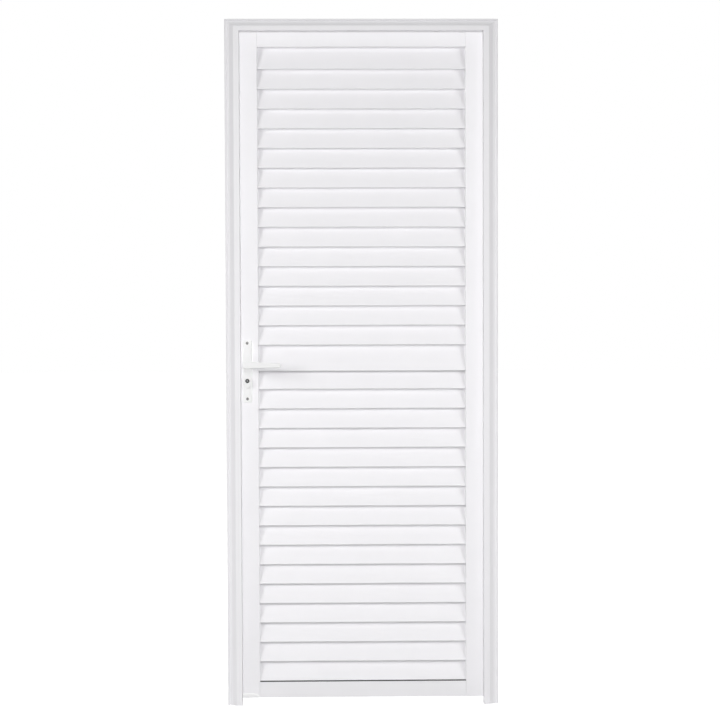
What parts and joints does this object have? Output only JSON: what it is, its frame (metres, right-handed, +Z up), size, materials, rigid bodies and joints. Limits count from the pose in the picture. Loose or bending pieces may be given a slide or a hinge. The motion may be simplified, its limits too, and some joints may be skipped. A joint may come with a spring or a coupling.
{
  "type": "aluminium louvred door",
  "caption": "White aluminium louvred door hung in its frame, with a moulded trim outside, slanted louvres above and below a lock rail, lever handles and rear hinges.",
  "frame": {"origin": "foot of the hinge jamb, on its wall face, at the middle of the frame's depth, level with the floor", "axes": "+Z up, +X from the lock side to the hinge side and out through the hinge jamb's wall face, -Y to the outer side that carries the trim"},
  "size_m": [0.84, 0.15, 2.118],
  "materials": {
    "frame_paint": "satin white powder coat",
    "leaf_paint": "satin white powder coat",
    "handle_paint": "smooth white enamel",
    "seal_rubber": "matt grey",
    "cap_plastic": "moulded white",
    "lock_steel": "zinc plated",
    "cylinder_metal": "white enamel",
    "plug_dark": "black",
    "hinge_paint": "satin white powder coat",
    "pin_steel": "satin"
  },
  "bodies": {
    "frame": {"lock_jamb": "frame_paint", "hinge_jamb": "frame_paint", "head_jamb": "frame_paint", "lock_stop": "frame_paint", "hinge_stop": "frame_paint", "head_stop": "frame_paint", "lock_trim": "frame_paint", "hinge_trim": "frame_paint", "head_trim": "frame_paint", "lock_seal": "seal_rubber", "hinge_seal": "seal_rubber", "head_seal": "seal_rubber", "strike_plate": "lock_steel", "bottom_hinge_frame_half": "hinge_paint", "bottom_hinge_pin": "pin_steel", "middle_hinge_frame_half": "hinge_paint", "middle_hinge_pin": "pin_steel", "top_hinge_frame_half": "hinge_paint", "top_hinge_pin": "pin_steel"},
    "leaf": {"lock_stile": "leaf_paint", "hinge_stile": "leaf_paint", "top_rail": "leaf_paint", "lock_rail": "leaf_paint", "bottom_rail": "leaf_paint", "upper_louvres": "leaf_paint", "lower_louvres": "leaf_paint", "stile_caps": "cap_plastic", "outside_plate": "handle_paint", "inside_plate": "handle_paint", "lock_case": "lock_steel", "lock_face": "lock_steel", "lock_bolts": "lock_steel", "lock_cylinder": "cylinder_metal", "cylinder_plugs": "plug_dark", "bottom_hinge_leaf_half": "hinge_paint", "middle_hinge_leaf_half": "hinge_paint", "top_hinge_leaf_half": "hinge_paint"},
    "lever": {"outside_lever": "handle_paint", "inside_lever": "handle_paint", "lever_spindle": "lock_steel"}
  },
  "joints": [
    {"name": "leaf_swing", "type": "hinge", "parent": "frame", "child": "leaf", "pos_m": [-0.0166, 0.0335, 1.05], "axis": [0, 0, -1], "range_deg": [0, 110]},
    {"name": "lever_turn", "type": "hinge", "parent": "leaf", "child": "lever", "pos_m": [-0.7555, 0.005, 1.057], "axis": [0, 1, 0], "range_deg": [0, 45], "stiffness_Nm_per_rad": 1.2, "springref_deg": -17.19}
  ]
}
